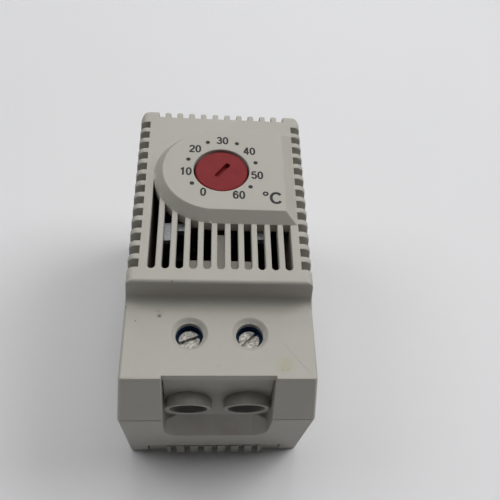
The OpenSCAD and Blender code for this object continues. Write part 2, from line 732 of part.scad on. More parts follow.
// Carrier plate with two columns, the contact pedestal, the bracket's pad and the magnet's frame
module carrier() color("#e4e2da") difference() {
    union() {
        translate([-carrier_w / 2, carrier_y0, carrier_z - carrier_t])
            cube([carrier_w, carrier_y1 - carrier_y0, carrier_t]);
        // left column, and on its foot two horns that stand up close under the front wall
        translate([-10.4, horn_base_y, carrier_z - eps])
            cube([3.8, column_y + column_l - horn_base_y, bridge_z - carrier_z + eps]);
        translate([-10.4, horn_base_y, bridge_z - eps]) cube([2.3, 3.6, horn_z - bridge_z + eps]);
        translate([-8.2, horn_base_y + 2.1, bridge_z - eps]) cube([1.9, 1.5, horn_z - bridge_z + eps]);
        // right column with its narrower foot and horn
        translate([6.7, column_y, carrier_z - eps]) cube([3.1, column_l, bridge_z - carrier_z + eps]);
        translate([6.7, right_horn_y, carrier_z - eps])
            cube([1.5, column_y - right_horn_y + eps, bridge_z - carrier_z + eps]);
        translate([6.2, right_horn_y, bridge_z - eps]) cube([1.8, 2, horn_z - bridge_z + eps]);
        translate([-tongue_left, contact_y - pedestal_edge, carrier_z - eps])
            cube([tongue_left + pole_pitch / 2 + bar_w / 2, 2 * pedestal_edge, tongue_z - carrier_z + eps]);
        translate([bracket_pad_x, bracket_y0, carrier_z - eps])
            cube([anchor_w / 2 - bracket_pad_x, bracket_y1 - bracket_y0, bar_t + eps]);
        translate([-magnet_w / 2 - 0.8, magnet_y - 0.8, carrier_z - eps])
            cube([magnet_w + 1.6, magnet_l + 1.6, 2]);
    }
    translate([-magnet_w / 2 - running, magnet_y - running, carrier_z])
        cube([magnet_w + 2 * running, magnet_l + 2 * running, 3]);
    for (p = carrier_posts) translate([p[0], p[1], 0])
        cylinder(d = carrier_screw_d + 2 * loose, h = carrier_z + 1, $fn = 32);
    for (s = [-1, 1]) translate([s * column_screw_x, column_screw_y, bridge_z - 6])
        cylinder(d = bridge_screw_d + 2 * running, h = 7, $fn = 32);
    translate([0, contact_y, tongue_z - shank_l - 0.2])
        cylinder(d = shank_d + 2 * running, h = 3, $fn = 32);
    rivet_holes(rivet_places);
}

// Holes for the rivets of the bars
module rivet_holes(places) for (p = places) translate([p[0], p[1], 0])
    cylinder(d = rivet_d + 2 * running, h = seam_z, $fn = 32);

module carrier_screws() color("#c9ccd0") for (p = carrier_posts) translate([p[0], p[1], 0])
    pan_screw(carrier_z, carrier_screw_d, carrier_screw_l, carrier_screw_head, pan_head_h);

// Bracket whose upright holds the tail of the bimetal arm in a window
module anchor_bracket() color("#b9bcbf") difference() {
    union() {
        translate([-pole_pitch / 2 - bar_w / 2, bracket_y0, carrier_z + bar_t])
            cube([pole_pitch / 2 + bar_w / 2 + anchor_w / 2, bracket_y1 - bracket_y0, bracket_t]);
        translate([-anchor_w / 2, bracket_y1 - bracket_t, carrier_z + bar_t])
            cube([anchor_w, bracket_t, arm_h + 4]);
    }
    translate([-arm_w / 2 - loose, bracket_y1 - 2, arm_z - 0.35])
        cube([arm_w + 2 * loose, 3, arm_t + 0.7]);
    rivet_holes(rivet_places);
}

module bimetal_arm() color("#9c8f7a") difference() {
    translate([-arm_w / 2, contact_y - arm_tip, arm_z])
        cube([arm_w, bracket_y1 + arm_tail - contact_y + arm_tip, arm_t]);
    translate([0, contact_y, arm_z - 1]) cylinder(d = shank_d + 2 * running, h = 3, $fn = 32);
}

module moving_contact() color("#d8d8d4") translate([0, contact_y, 0]) {
    translate([0, 0, arm_z - contact_h]) cylinder(d = contact_d, h = contact_h, $fn = 32);
    translate([0, 0, arm_z - eps]) cylinder(d = shank_d, h = arm_t + 2 * eps, $fn = 32);
    translate([0, 0, arm_z + arm_t]) cylinder(d = shank_d + 0.8, h = 0.4, $fn = 32);
}

module fixed_contact() color("#d8d8d4") translate([0, contact_y, 0]) {
    translate([0, 0, tongue_z + bar_t]) cylinder(d = contact_d, h = fixed_h, $fn = 32);
    translate([0, 0, tongue_z - shank_l]) cylinder(d = shank_d, h = shank_l + bar_t + eps, $fn = 32);
}

// Terminal bar from inside a clamp out through the block and down to a level
module bar_drop(x, z) {
    translate([x - bar_w / 2, cage_y0 - 0.1, bar_z]) cube([bar_w, bend_y - cage_y0 + 0.1, bar_t]);
    translate([x - bar_w / 2, bend_y - bar_t, z]) cube([bar_w, bar_t, bar_z + bar_t - z]);
}

module contact_bar() color("#c8b273") difference() {
    union() {
        bar_drop(pole_pitch / 2, tongue_z);
        translate([-tongue_left, bend_y - bar_t, tongue_z])
            cube([tongue_left + pole_pitch / 2 + bar_w / 2,
                  contact_y + pedestal_edge - bend_y + bar_t, bar_t]);
    }
    translate([0, contact_y, 0]) cylinder(d = shank_d + 2 * running, h = seam_z, $fn = 32);
    rivet_holes([rivet_places[0]]);
}

module feed_bar() color("#c8b273") difference() {
    union() {
        bar_drop(-pole_pitch / 2, carrier_z);
        translate([-pole_pitch / 2 - bar_w / 2, bend_y - bar_t, carrier_z])
            cube([bar_w, bracket_y1 - bend_y + bar_t, bar_t]);
    }
    rivet_holes([rivet_places[1]]);
}

module bar_rivets() color("#c8b273") {
    rivet(rivet_places[0], tongue_z + bar_t, tongue_z + bar_t - carrier_z);
    for (i = [1, 2]) rivet(rivet_places[i], carrier_z + bar_t + bracket_t, bar_t + bracket_t + carrier_t);
}

// Rivet with its head's seat at height z
module rivet(place, z, l) translate([place[0], place[1], z]) {
    translate([0, 0, -l]) cylinder(d = rivet_d, h = l + eps, $fn = 32);
    cylinder(d = rivet_d + 1, h = 0.6, $fn = 32);
}

module magnet() color("#4b4c4e") translate([-magnet_w / 2, magnet_y, carrier_z])
    cube([magnet_w, magnet_l, magnet_h]);

module range_spring() color("silver") translate([0, dial_y, arm_z + arm_t + seat_gap / 2])
    coil(range_spring_r, range_wire, cup_z - arm_z - arm_t - seat_gap, 5);

// Blue terminal block: two chambers open below, with wire holes, screw wells and slots for the bars
module terminal_block() color("#1f3f6e") difference() {
    translate([-block_w / 2, block_y0, block_z0]) cube([block_w, block_y1 - block_y0, block_z1 - block_z0]);
    for (s = [-1, 1]) translate([s * pole_pitch / 2, 0, 0]) {
        translate([-cage_w / 2 - loose, cage_y0 - loose, block_z0 - 1])
            cube([cage_w + 2 * loose, cage_l + 2 * loose, chamber_z1 - block_z0 + 1]);
        translate([0, cage_y0, inlet_z]) rotate([90, 0, 0])
            cylinder(d = wire_hole_d, h = cage_y0 - block_y0 + 1, $fn = 48);
        translate([0, screw_y, block_z0])
            cylinder(d = thread_d + 2 * loose, h = block_z1 - block_z0 + 1, $fn = 48);
        translate([0, screw_y, head_z - running]) cylinder(d = well_d, h = block_z1 - head_z + 1, $fn = 48);
        translate([-bar_w / 2 - seat_gap, screw_y, bar_z - seat_gap])
            cube([bar_w + 2 * seat_gap, block_y1 - screw_y + 1, bar_t + 2 * seat_gap]);
    }
}

// Rising clamp cage with its window and threaded bridge, drawn fully open
module clamp_cage(x) translate([x, 0, 0]) difference() {
    translate([-cage_w / 2, cage_y0, cage_z0]) cube([cage_w, cage_l, cage_z1 - cage_z0]);
    translate([-cage_window_w / 2, cage_y0 - 1, cage_z0 + cage_floor_t])
        cube([cage_window_w, cage_l + 2, cage_bridge_z - cage_z0 - cage_floor_t]);
    translate([0, screw_y, cage_bridge_z - 1]) cylinder(d = thread_d + 2 * running, h = 10, $fn = 48);
}

module clamp_cage_left() color("#b9bcbf") clamp_cage(-pole_pitch / 2);
module clamp_cage_right() color("#b9bcbf") clamp_cage(pole_pitch / 2);

// Slotted terminal screw; its tip stands just over the terminal bar
module terminal_screw(x, angle) translate([x, screw_y, 0]) difference() {
    union() {
        translate([0, 0, bar_z + bar_t + running])
            cylinder(d = thread_d, h = head_z - bar_z - bar_t, $fn = 48);
        translate([0, 0, head_z]) cylinder(d = head_d, h = head_h, $fn = 48);
    }
    rotate([0, 0, angle]) translate([-head_d, -head_slot_w / 2, head_z + head_h - 0.8])
        cube([2 * head_d, head_slot_w, head_h]);
}

module terminal_screw_left() color("#d5d8da") terminal_screw(-pole_pitch / 2, 22);
module terminal_screw_right() color("#d5d8da") terminal_screw(pole_pitch / 2, 45);

base();
cover();
rail_latch();
latch_spring();
dial();
adjusting_screw();
screw_bush();
bridge();
bridge_screws();
carrier();
carrier_screws();
anchor_bracket();
bimetal_arm();
moving_contact();
fixed_contact();
contact_bar();
feed_bar();
bar_rivets();
magnet();
range_spring();
terminal_block();
clamp_cage_left();
clamp_cage_right();
terminal_screw_left();
terminal_screw_right();
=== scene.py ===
# A rail-mounted cabinet thermostat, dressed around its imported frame. Lengths are in metres.
import math

import bmesh
import bpy
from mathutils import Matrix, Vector


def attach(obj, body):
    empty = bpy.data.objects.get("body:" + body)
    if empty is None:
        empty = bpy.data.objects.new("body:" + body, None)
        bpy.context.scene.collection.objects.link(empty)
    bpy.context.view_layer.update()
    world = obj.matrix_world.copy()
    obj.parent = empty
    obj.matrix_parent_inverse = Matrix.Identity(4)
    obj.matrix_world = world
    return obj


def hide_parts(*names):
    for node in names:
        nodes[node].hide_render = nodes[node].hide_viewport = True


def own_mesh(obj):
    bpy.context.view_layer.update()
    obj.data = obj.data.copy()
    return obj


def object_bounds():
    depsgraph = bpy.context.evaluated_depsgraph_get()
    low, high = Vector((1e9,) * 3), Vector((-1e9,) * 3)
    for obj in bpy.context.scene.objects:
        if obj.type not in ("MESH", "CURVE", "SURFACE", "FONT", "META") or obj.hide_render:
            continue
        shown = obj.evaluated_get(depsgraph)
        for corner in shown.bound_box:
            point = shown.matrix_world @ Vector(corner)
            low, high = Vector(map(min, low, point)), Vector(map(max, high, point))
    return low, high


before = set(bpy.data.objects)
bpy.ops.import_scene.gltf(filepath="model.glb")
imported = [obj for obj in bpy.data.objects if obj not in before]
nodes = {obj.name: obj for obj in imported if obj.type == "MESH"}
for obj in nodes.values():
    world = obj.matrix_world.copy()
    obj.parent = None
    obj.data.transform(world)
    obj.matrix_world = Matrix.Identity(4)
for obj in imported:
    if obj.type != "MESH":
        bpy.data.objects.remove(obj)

cad_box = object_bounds()
mm = 0.001


# ---- Bench and light ----
# The thermostat lies on its back on a plain white bench, seen from above its cable end.
# Softboxes stand to its right, to its left, behind it and overhead, so the faces towards the camera
# are in shade; a weak fill from the front opens that shade a little.
def deselect_all():
    if bpy.context.mode != "OBJECT":
        bpy.ops.object.mode_set(mode="OBJECT")
    bpy.ops.object.select_all(action="DESELECT")


def srgb(code):
    """A hex colour as the eye reads it, turned to the linear values that the shader takes."""
    channels = [int(code[i:i + 2], 16) / 255 for i in (1, 3, 5)]
    return tuple(c / 12.92 if c <= 0.04045 else ((c + 0.055) / 1.055) ** 2.4 for c in channels) + (1.0,)


def add_node(material, kind, inputs=None, **settings):
    """Adds one shader node: inputs are constants or sockets to link, settings are its own options."""
    node = material.node_tree.nodes.new(kind)
    for name, value in settings.items():
        setattr(node, name, value)
    for name, value in (inputs or {}).items():
        if isinstance(value, bpy.types.NodeSocket):
            material.node_tree.links.new(value, node.inputs[name])
        else:
            node.inputs[name].default_value = value
    return node


def new_material(name):
    material = bpy.data.materials.new(name)
    material.use_nodes = True
    return material, material.node_tree.nodes["Principled BSDF"]


def mottled_finish(name, scale, detail, low_hex, high_hex):
    """A new material whose colour wanders between two close shades."""
    material, bsdf = new_material(name)
    place = add_node(material, "ShaderNodeTexCoord")
    cloud = add_node(material, "ShaderNodeTexNoise",
                     {"Vector": place.outputs["Object"], "Scale": scale, "Detail": detail})
    tone = add_node(material, "ShaderNodeMix",
                    {"Factor": cloud.outputs["Fac"], "A": srgb(low_hex), "B": srgb(high_hex)},
                    data_type="RGBA")
    material.node_tree.links.new(tone.outputs["Result"], bsdf.inputs["Base Color"])
    return material, bsdf


deselect_all()
bench_size = 4
bench_gap = 0.05 * mm
bpy.ops.mesh.primitive_plane_add(size=bench_size, location=(0, 0, cad_box[0][2] - bench_gap))
bench = bpy.context.object
bench.name = "bench"
bench_paint, bsdf = mottled_finish("white_bench_paint", 9.0, 2.0, "#dededf", "#e6e6e8")
bsdf.inputs["Roughness"].default_value = 0.55
bench.data.materials.append(bench_paint)

light_aim = Vector((0, 0, 0.02))
softbox_side = 0.5
for name, place, power in (
        ("softbox_right", (0.51, 0.18, 0.60), 3.6),
        ("softbox_left", (-0.51, 0.18, 0.60), 1.8),
        ("softbox_behind", (0.0, 0.65, 0.46), 1.2),
        ("softbox_overhead", (0.0, 0.14, 0.80), 1.2),
        ("fill_in_front", (0.0, -0.70, 0.40), 0.28)):
    light = bpy.data.lights.new(name, "AREA")
    light.shape = "RECTANGLE"
    light.size = light.size_y = softbox_side
    light.energy = power
    softbox = bpy.data.objects.new(name, light)
    bpy.context.collection.objects.link(softbox)
    softbox.location = place
    softbox.rotation_euler = (light_aim - Vector(place)).to_track_quat("-Z", "Y").to_euler()
world = bpy.data.worlds.new("room")
world.use_nodes = True
room_light = world.node_tree.nodes["Background"]
room_light.inputs["Color"].default_value = srgb("#dfe2e6")
room_light.inputs["Strength"].default_value = 0.045
bpy.context.scene.world = world
bpy.context.scene.view_settings.view_transform = "Standard"

# the photograph's own view, found from the case's outline
camera_data = bpy.data.cameras.new("camera")
camera_data.sensor_width = 36
camera_data.lens = 48.06
camera_data.shift_x = -0.0574
camera_data.shift_y = 0.0075
camera_data.clip_start = 0.005
camera = bpy.data.objects.new("camera", camera_data)
bpy.context.collection.objects.link(camera)
camera.location = (-2.864 * mm, -71.694 * mm, 133.348 * mm)
camera.rotation_euler = (math.radians(35.359), math.radians(-5.905), math.radians(-2.725))
bpy.context.scene.camera = camera


# ---- Cover ----
# The upper half of the case, injection-moulded in light grey ABS from a spark-eroded tool: an even,
# dull surface with a very fine grain. It snaps over the base's rim; its edges carry the tool's small radii.
def grey_abs(name, light_hex, dark_hex):
    """Gives the material and its shader, so that marks can be laid over the plain plastic."""
    material, bsdf = new_material(name)
    place = add_node(material, "ShaderNodeTexCoord")
    # flow marks and handling, as faint clouds about 7 mm wide
    cloud = add_node(material, "ShaderNodeTexNoise",
                     {"Vector": place.outputs["Object"], "Scale": 140.0, "Detail": 3.0, "Roughness": 0.6})
    # spark-eroded grain, drawn at 0.25 mm so that it shows
    grain = add_node(material, "ShaderNodeTexNoise",
                     {"Vector": place.outputs["Object"], "Scale": 4000.0, "Detail": 2.0, "Roughness": 0.5})
    both = add_node(material, "ShaderNodeMath",
                    {0: cloud.outputs["Fac"], 1: grain.outputs["Fac"]}, operation="ADD")
    mean = add_node(material, "ShaderNodeMath", {0: both.outputs[0], 1: 0.5}, operation="MULTIPLY")
    colour = add_node(material, "ShaderNodeMix",
                      {"Factor": mean.outputs[0], "A": srgb(dark_hex), "B": srgb(light_hex)},
                      data_type="RGBA")
    dull = add_node(material, "ShaderNodeMapRange",
                    {"Value": grain.outputs["Fac"], "To Min": 0.50, "To Max": 0.62})
    bump = add_node(material, "ShaderNodeBump",
                    {"Height": grain.outputs["Fac"], "Strength": 0.12, "Distance": 0.03 * mm})
    links = material.node_tree.links
    links.new(colour.outputs["Result"], bsdf.inputs["Base Color"])
    links.new(dull.outputs["Result"], bsdf.inputs["Roughness"])
    links.new(bump.outputs["Normal"], bsdf.inputs["Normal"])
    bsdf.inputs["IOR"].default_value = 1.54
    return material, bsdf


def lay_mark(material, bsdf, centre, radius, tint_hex, strength):
    """Lays one small ragged mark over the plastic's colour; centre and radius are in millimetres."""
    below = bsdf.inputs["Base Color"].links[0].from_socket
    place = add_node(material, "ShaderNodeTexCoord")
    far = add_node(material, "ShaderNodeVectorMath",
                   {0: place.outputs["Object"], 1: [c * mm for c in centre]}, operation="DISTANCE")
    ragged = add_node(material, "ShaderNodeTexNoise",
                      {"Vector": place.outputs["Object"], "Scale": 1.3 / (radius * mm), "Detail": 3.0})
    reach = add_node(material, "ShaderNodeMath",
                     {0: ragged.outputs["Fac"], 1: 0.9 * radius * mm, 2: far.outputs["Value"]},
                     operation="MULTIPLY_ADD")
    amount = add_node(material, "ShaderNodeMapRange",
                      {"Value": reach.outputs[0], "From Min": 0.65 * radius * mm,
                       "From Max": 1.4 * radius * mm, "To Min": strength, "To Max": 0.0})
    marked = add_node(material, "ShaderNodeMix",
                      {"Factor": amount.outputs["Result"], "A": below, "B": srgb(tint_hex)},
                      data_type="RGBA")
    material.node_tree.links.new(marked.outputs["Result"], bsdf.inputs["Base Color"])


def merged_copy(node_name, piece_name, merge_distance):
    """A copy of a CAD node, its loose triangles joined and its flat faces made whole."""
    deselect_all()
    source = nodes[node_name]
    source.select_set(True)
    bpy.context.view_layer.objects.active = source
    bpy.ops.object.duplicate()
    piece = bpy.context.object
    piece.name = piece_name
    bpy.ops.object.mode_set(mode="EDIT")
    bpy.ops.mesh.select_all(action="SELECT")
    bpy.ops.mesh.remove_doubles(threshold=merge_distance)
    bpy.ops.mesh.dissolve_limited(angle_limit=math.radians(0.5))
    bpy.ops.object.mode_set(mode="OBJECT")
    return piece


def soft_edge_copy(node_name, piece_name, body, width, segments, edge_weight):
    """A merged copy of a CAD node whose sharp outer edges get a small radius, in its place."""
    piece = merged_copy(node_name, piece_name, 0.04 * mm)
    mesh = bmesh.new()
    mesh.from_mesh(piece.data)
    weight = mesh.edges.layers.float.new("bevel_weight_edge")
    for edge in mesh.edges:
        if edge.is_convex and edge.calc_face_angle(0.0) > math.radians(25):
            edge[weight] = edge_weight(edge.verts[0].co / mm, edge.verts[1].co / mm)
    mesh.to_mesh(piece.data)
    mesh.free()
    bevel = piece.modifiers.new("mould_radius", "BEVEL")
    bevel.width = width
    bevel.segments = segments
    bevel.limit_method = "WEIGHT"
    bevel.use_clamp_overlap = False
    bpy.ops.object.modifier_apply(modifier=bevel.name)
    bpy.ops.object.shade_smooth_by_angle(angle=math.radians(24))
    flat = piece.modifiers.new("flat_faces_stay_flat", "WEIGHTED_NORMAL")
    flat.keep_sharp = True
    bpy.ops.object.modifier_apply(modifier=flat.name)
    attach(piece, body)
    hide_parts(node_name)
    return piece


def give_material(piece, material):
    piece.data.materials.clear()
    piece.data.materials.append(material)


case_abs_stains_and_painted_shade, case_bsdf = grey_abs("light_grey_abs_spark_eroded_stains_and_painted_shade", "#b6b3aa", "#a6a39a")
# specks and a glue-like smear, and painted shade on the recess wall over the inlets
for centre, radius, tint, strength in (
        ((-10.02, -15.53, 35.4), 0.50, "#6b4318", 0.85),
        ((-10.20, -14.60, 35.4), 0.50, "#8b7454", 0.30),
        ((-9.60, -15.00, 35.4), 0.30, "#8b7454", 0.25),
        ((-13.86, -16.50, 35.4), 0.25, "#5f5b52", 0.60),
        ((10.55, -24.42, 35.4), 2.00, "#a29a6a", 0.30),
        ((10.18, -25.30, 35.4), 0.30, "#a2764a", 0.45),
        ((11.10, -25.20, 35.4), 0.26, "#a2764a", 0.40),
        ((-7.93, -12.15, 40.8), 0.35, "#6d5a3c", 0.60),
        ((-14.94, -11.25, 40.5), 0.30, "#5f5b52", 0.55),
        ((-0.10, -24.60, 35.4), 0.60, "#a8a078", 0.25),
        # painted shade: the recess wall over the inlets darkened
        ((-6.20, -25.70, 31.0), 3.20, "#77736a", 0.45),
        ((0.00, -25.70, 31.0), 3.20, "#77736a", 0.45),
        ((6.20, -25.70, 31.0), 3.20, "#77736a", 0.45)):
    lay_mark(case_abs_stains_and_painted_shade, case_bsdf, centre, radius, tint, strength)


# in millimetres: the terminal deck's end and height, the front wall's underside, how far the hollow
# reaches, the skirt's top, where the ribs begin, and the two places too thin to round
deck_end_y, deck_z = -12, 35.3
front_wall_underside_z = 39.05
hollow_x, hollow_low_y, hollow_high_y = 14.2, -25.4, 27
skirt_top_z = 28.2
ribs_x, ribs_low_y, ribs_high_y = 13.65, -10.6, 25.8
first_slot_left, first_slot_right, first_slot_low_y = -12.4, -11.9, -9
boss_tip_left, boss_tip_right, boss_tip_low_y, boss_tip_high_y = -12.7, -11.4, 6.0, 12.0


def cover_edge_weight(a, b):
    """Full weight on the ribs' edges, less on the slots and the case's own edges, none inside."""
    middle = (a + b) / 2
    top = max(a.z, b.z)
    on_deck = middle.y < deck_end_y and top > deck_z
    in_hollow = abs(middle.x) < hollow_x and hollow_low_y < middle.y < hollow_high_y
    inside = top < front_wall_underside_z and in_hollow and not on_deck
    # the first slot runs out to nothing against the boss's foot
    first_slot = (first_slot_left < min(a.x, b.x) and max(a.x, b.x) < first_slot_right
                  and middle.y > first_slot_low_y)
    by_the_boss = boss_tip_left < middle.x < boss_tip_right and boss_tip_low_y < middle.y < boss_tip_high_y
    if inside or first_slot or by_the_boss or middle.z < skirt_top_z:
        return 0.0
    on_ribs = middle.y > ribs_low_y and (abs(middle.x) > ribs_x or middle.y > ribs_high_y)
    return 1.0 if on_ribs else 0.45


cover = soft_edge_copy("cover", "cover_soft_edges", "case", 0.26 * mm, 2, cover_edge_weight)
give_material(cover, case_abs_stains_and_painted_shade)

# ---- Base ----
# The lower half, of the same resin: rail channel, inlet recess with its two collars, rim for the cover.
# Handling has left a brownish film on the recess's floor. Its grey is set darker than the cover's as
# painted shade, and the recess's back wall and collars carry painted shade too.
# painted shade: the base's grey is darker than the cover's, standing for its shaded faces
base_abs_film_and_painted_shade, base_bsdf = grey_abs("grey_abs_base_film_and_painted_shade", "#adaaa2", "#9d9a92")
for centre, radius, tint, strength in (
        # painted shade: the recess's back wall and collars darkened
        ((0.00, -25.70, 23.00), 9.0, "#6f6b61", 0.50),
        ((-2.91, -27.90, 15.94), 2.4, "#9c8468", 0.30),
        ((2.60, -27.90, 14.60), 2.2, "#9c8468", 0.28),
        ((5.11, -27.20, 8.20), 0.55, "#5b5a54", 0.55),
        ((-6.34, -27.90, 13.50), 0.45, "#c2c0b8", 0.5)):
    lay_mark(base_abs_film_and_painted_shade, base_bsdf, centre, radius, tint, strength)
base = soft_edge_copy("base", "base_soft_edges", "case", 0.14 * mm, 2, lambda a, b: 1.0)
give_material(base, base_abs_film_and_painted_shade)

# ---- Rail latch ----
# A sliding hook of the same grey resin, set evenly a little darker than the cover.
# Its spring holds it under the rail's edge; its toothed end stands out at the foot of the case.
latch_abs, _ = grey_abs("grey_abs_latch", "#a8a59c", "#98958c")
give_material(nodes["rail_latch"], latch_abs)

# ---- Dial ----
# A disc of red polyamide, moulded and dull, pressed on the adjusting screw's head and sunk in the
# boss. A screwdriver slot in its face points at the setting.
dial_nylon, bsdf = mottled_finish("red_polyamide_moulded", 500.0, 4.0, "#761d20", "#842629")
place = add_node(dial_nylon, "ShaderNodeTexCoord")
grain = add_node(dial_nylon, "ShaderNodeTexNoise",
                 {"Vector": place.outputs["Object"], "Scale": 5000.0, "Detail": 2.0})
bump = add_node(dial_nylon, "ShaderNodeBump",
                {"Height": grain.outputs["Fac"], "Strength": 0.15, "Distance": 0.03 * mm})
dial_nylon.node_tree.links.new(bump.outputs["Normal"], bsdf.inputs["Normal"])
bsdf.inputs["Roughness"].default_value = 0.5
bsdf.inputs["IOR"].default_value = 1.53
bsdf.inputs["Specular IOR Level"].default_value = 0.2
give_material(nodes["dial"], dial_nylon)

# ---- Printed scale ----
# Pad-printed black figures, dots and the degree sign on the boss: a film of ink a few hundredths
# of a millimetre thick. Each figure is drawn in strokes, as the grotesque on the real scale is.
ink, bsdf = mottled_finish("black_pad_print_ink", 6000.0, 2.0, "#0d0e10", "#1c1d20")
bsdf.inputs["Roughness"].default_value = 0.5
boss_top = cad_box[1][2]
ink_film = 0.015 * mm
# the figures' sizes in millimetres
figure_height = 1.82
figure_width = 1.68
figure_pitch = 1.13
figure_stroke = 0.35


def arc(x, y, rx, ry, start, end, roundness=1.0):
    """Points along part of an oval round (x, y); a roundness below 1 squares its shoulders."""
    steps = max(4, int(abs(end - start) / 9))
    points = []
    for i in range(steps + 1):
        angle = math.radians(start + (end - start) * i / steps)
        c, s = math.cos(angle), math.sin(angle)
        points.append((x + rx * math.copysign(abs(c) ** roundness, c),
                       y + ry * math.copysign(abs(s) ** roundness, s)))
    return points


# centre lines of the strokes, for a figure one unit tall round its middle
digit_strokes = {
    "0": [arc(0, 0, 0.22, 0.425, 0, 360, 0.88)],
    "1": [[(0.07, -0.5), (0.07, 0.5)],
          [(-0.17, 0.24), (-0.06, 0.28), (0.02, 0.36), (0.05, 0.46)]],
    "2": [arc(0, 0.20, 0.215, 0.225, 175, -28)
          + [(0.10, -0.06), (-0.10, -0.24), (-0.20, -0.37), (-0.215, -0.45)],
          [(-0.28, -0.425), (0.29, -0.425)]],
    "3": [arc(-0.01, 0.215, 0.20, 0.21, 165, -90) + [(-0.08, 0.01)],
          arc(-0.01, -0.20, 0.225, 0.225, 85, -165)],
    "4": [[(0.10, 0.47), (-0.24, -0.19)], [(-0.29, -0.20), (0.30, -0.20)], [(0.11, 0.5), (0.11, -0.5)]],
    "5": [[(-0.17, 0.425), (0.23, 0.425)], [(-0.15, 0.45), (-0.20, 0.0)],
          arc(0, -0.155, 0.225, 0.27, 148, -160)],
    "6": [arc(0.005, 0, 0.225, 0.425, 32, 200, 0.9), arc(0.005, -0.165, 0.215, 0.26, 0, 360)],
}


def seat_print(print_object, name):
    """Applies the place of a print, puts ink on it and joins it to the case."""
    deselect_all()
    print_object.name = name
    bpy.context.view_layer.objects.active = print_object
    print_object.select_set(True)
    bpy.ops.object.transform_apply(location=True, rotation=True, scale=True)
    give_material(print_object, ink)
    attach(print_object, "case")


def print_strokes(strokes, width, x, y, name):
    """Prints centre lines, given in millimetres round (x, y), as flat rounded strokes of ink."""
    deselect_all()
    bpy.ops.curve.primitive_nurbs_path_add(location=(0, 0, 0))
    path = bpy.context.object
    path.data.splines.clear()
    for points in strokes:
        closed = math.dist(points[0], points[-1]) < 1e-6
        run = points[:-1] if closed else points
        line = path.data.splines.new("POLY")
        line.points.add(len(run) - 1)
        line.use_cyclic_u = closed
        for point, (px, py) in zip(line.points, run):
            point.co = (px * mm, py * mm, 0, 1)
    half_width = width * mm / 2
    path.data.bevel_depth = half_width
    path.data.bevel_resolution = 2
    path.data.use_fill_caps = True
    bpy.ops.object.convert(target="MESH")
    path = bpy.context.object
    path.scale = (1, 1, ink_film / half_width)
    path.location = (x * mm, y * mm, boss_top)
    seat_print(path, name)


for text, x, y in (("0", -3.23, 5.27), ("10", -6.45, 10.0), ("20", -4.87, 15.62), ("30", 0.15, 17.94),
                   ("40", 5.13, 15.48), ("50", 6.43, 9.58), ("60", 3.08, 4.82)):
    strokes = []
    for i, digit in enumerate(text):
        shift = (i - (len(text) - 1) / 2) * figure_pitch
        strokes += [[(px * figure_width + shift, py * figure_height) for px, py in stroke]
                    for stroke in digit_strokes[digit]]
    print_strokes(strokes, figure_stroke, x, y, "scale_figure_" + text)
print_strokes([arc(0, 0, 0.92, 1.13, 36, 324, 0.95)], 0.52, 9.70, 4.33, "scale_unit_letter")
print_strokes([arc(0, 0, 0.37, 0.37, 0, 360)], 0.34, 7.82, 5.25, "scale_degree_ring")

dot_radius = 0.41 * mm
for i, (x, y) in enumerate(((-5.24, 7.19), (-6.03, 12.91), (-2.56, 17.33),
                            (2.85, 17.27), (6.23, 12.59), (5.17, 6.75))):
    deselect_all()
    bpy.ops.mesh.primitive_circle_add(vertices=24, radius=dot_radius, fill_type="NGON",
                                      location=(x * mm, y * mm, boss_top + ink_film))
    bpy.ops.object.mode_set(mode="EDIT")
    bpy.ops.mesh.extrude_region_move(TRANSFORM_OT_translate={"value": (0, 0, -ink_film)})
    bpy.ops.object.mode_set(mode="OBJECT")
    seat_print(bpy.context.object, "scale_dot_%d" % i)

# ---- Terminal block ----
# A block of navy-blue glass-filled polyamide, satin from the mould, that holds both clamps under the
# deck. Only the rings round the two screw heads show, down in the deck's holes.
blue_nylon, bsdf = mottled_finish("navy_polyamide_moulded", 900.0, 3.0, "#1b3a63", "#274b7c")
bsdf.inputs["Roughness"].default_value = 0.35
give_material(nodes["terminal_block"], blue_nylon)


# ---- Terminal screws, clamps and plated steel ----
# Cold-headed steel screws, zinc plated and passivated: a dull silver, cloudy, scuffed by the
# screwdriver. The clamp cages that they lift, the bridge and the other screws have the same plating.
def plated_metal(name, light_hex, dark_hex, rough_low, rough_high, scale, relief=0.25):
    material, bsdf = new_material(name)
    place = add_node(material, "ShaderNodeTexCoord")
    cloud = add_node(material, "ShaderNodeTexNoise",
                     {"Vector": place.outputs["Object"], "Scale": scale, "Detail": 5.0, "Roughness": 0.65})
    patches = add_node(material, "ShaderNodeMapRange",
                       {"Value": cloud.outputs["Fac"], "From Min": 0.38, "From Max": 0.62})
    tint = add_node(material, "ShaderNodeMix",
                    {"Factor": patches.outputs["Result"], "A": srgb(dark_hex), "B": srgb(light_hex)},
                    data_type="RGBA")
    dull = add_node(material, "ShaderNodeMapRange",
                    {"Value": cloud.outputs["Fac"], "From Min": 0.3, "From Max": 0.7,
                     "To Min": rough_low, "To Max": rough_high})
    bump = add_node(material, "ShaderNodeBump",
                    {"Height": cloud.outputs["Fac"], "Strength": relief, "Distance": 0.05 * mm})
    links = material.node_tree.links
    links.new(tint.outputs["Result"], bsdf.inputs["Base Color"])
    links.new(dull.outputs["Result"], bsdf.inputs["Roughness"])
    links.new(bump.outputs["Normal"], bsdf.inputs["Normal"])
    bsdf.inputs["Metallic"].default_value = 1.0
    return material


scuffed_zinc = plated_metal("scuffed_zinc_plated_screw", "#dcdad2", "#77746e", 0.40, 0.70, 2400.0, 0.9)
for name in ("terminal_screw_left", "terminal_screw_right"):
    give_material(nodes[name], scuffed_zinc)
zinc = plated_metal("bright_zinc_plated_steel", "#c9cccc", "#9ca1a0", 0.25, 0.45, 2200.0)
for name in ("clamp_cage_left", "clamp_cage_right", "bridge", "bridge_screws", "carrier_screws",
             "anchor_bracket"):
    give_material(nodes[name], zinc)

